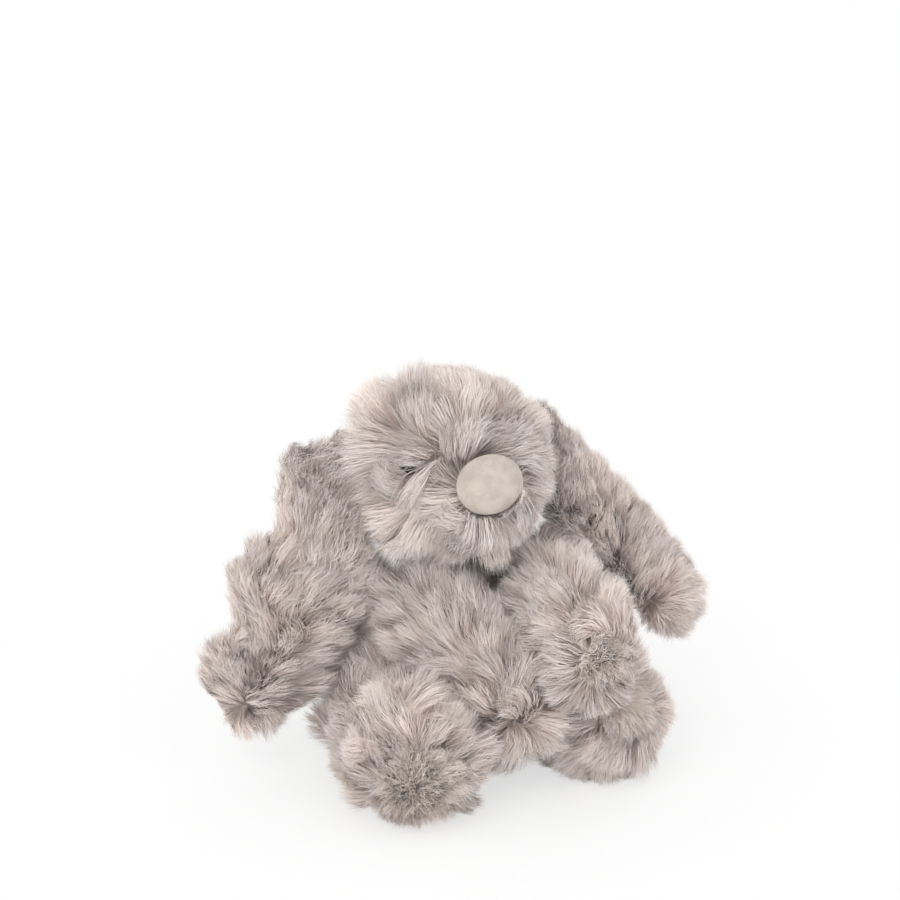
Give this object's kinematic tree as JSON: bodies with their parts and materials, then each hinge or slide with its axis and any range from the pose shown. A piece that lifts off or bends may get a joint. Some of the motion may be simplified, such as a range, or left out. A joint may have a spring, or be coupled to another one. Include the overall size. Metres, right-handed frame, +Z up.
{
  "type": "plush rabbit",
  "caption": "Seated soft toy rabbit of long-pile fabric with a padded oval nose and long hanging ears; its head, ears, arms, legs and tail turn at their seams.",
  "frame": {"origin": "middle of the flat patch under the seat, on the surface that the toy sits on", "axes": "+Z up, -Y the way the rabbit faces, +X towards the rabbit's left"},
  "size_m": [0.2956, 0.1857, 0.2086],
  "materials": {
    "plush_pile": "long soft pile, matte",
    "nose_velour": "short matte velour",
    "polyester_wadding": "loose fibre filling",
    "pouch_cloth": "plain woven cloth",
    "eye_gloss": "polished",
    "washer_plastic": "moulded"
  },
  "bodies": {
    "torso": {"torso_pelt": "plush_pile", "torso_stuffing": "polyester_wadding", "seat_pellet_pouch": "pouch_cloth"},
    "head": {"head_pelt": "plush_pile", "head_stuffing": "polyester_wadding", "nose_cover": "nose_velour", "nose_wadding": "polyester_wadding", "right_eye": "eye_gloss", "right_eye_washer": "washer_plastic", "left_eye": "eye_gloss", "left_eye_washer": "washer_plastic"},
    "right_ear": {"right_ear_front_panel": "plush_pile", "right_ear_back_panel": "plush_pile"},
    "left_ear": {"left_ear_front_panel": "plush_pile", "left_ear_back_panel": "plush_pile"},
    "right_arm": {"right_arm_pelt": "plush_pile", "right_arm_stuffing": "polyester_wadding"},
    "left_arm": {"left_arm_pelt": "plush_pile", "left_arm_stuffing": "polyester_wadding"},
    "right_leg": {"right_leg_pelt": "plush_pile", "right_leg_stuffing": "polyester_wadding", "right_foot_pellet_pouch": "pouch_cloth"},
    "left_leg": {"left_leg_pelt": "plush_pile", "left_leg_stuffing": "polyester_wadding", "left_foot_pellet_pouch": "pouch_cloth"},
    "tail": {"tail_pelt": "plush_pile", "tail_stuffing": "polyester_wadding"}
  },
  "joints": [
    {"name": "neck_nod", "type": "hinge", "parent": "torso", "child": "head", "pos_m": [0, 0, 0.117], "axis": [1, 0, 0], "range_deg": [-10, 10], "stiffness_Nm_per_rad": 0.6},
    {"name": "right_ear_lift", "type": "hinge", "parent": "head", "child": "right_ear", "pos_m": [-0.0466, 0.00875, 0.17616], "axis": [0, 1, 0], "range_deg": [0, 75]},
    {"name": "left_ear_lift", "type": "hinge", "parent": "head", "child": "left_ear", "pos_m": [0.03529, 0.00445, 0.17616], "axis": [0, -1, 0], "range_deg": [0, 75]},
    {"name": "right_arm_lift", "type": "hinge", "parent": "torso", "child": "right_arm", "pos_m": [-0.033, -0.009, 0.1], "axis": [-0.788, 0, -0.6157], "range_deg": [0, 32]},
    {"name": "left_arm_lift", "type": "hinge", "parent": "torso", "child": "left_arm", "pos_m": [0.033, -0.009, 0.1], "axis": [-0.9063, 0, 0.4226], "range_deg": [0, 32]},
    {"name": "right_leg_spread", "type": "hinge", "parent": "torso", "child": "right_leg", "pos_m": [-0.044, 0.004, 0.032], "axis": [0, 0, -1], "range_deg": [0, 20]},
    {"name": "left_leg_spread", "type": "hinge", "parent": "torso", "child": "left_leg", "pos_m": [0.044, 0.004, 0.032], "axis": [0, 0, 1], "range_deg": [0, 20]},
    {"name": "tail_lift", "type": "hinge", "parent": "torso", "child": "tail", "pos_m": [0, 0.0324, 0.034], "axis": [1, 0, 0], "range_deg": [0, 20]}
  ]
}
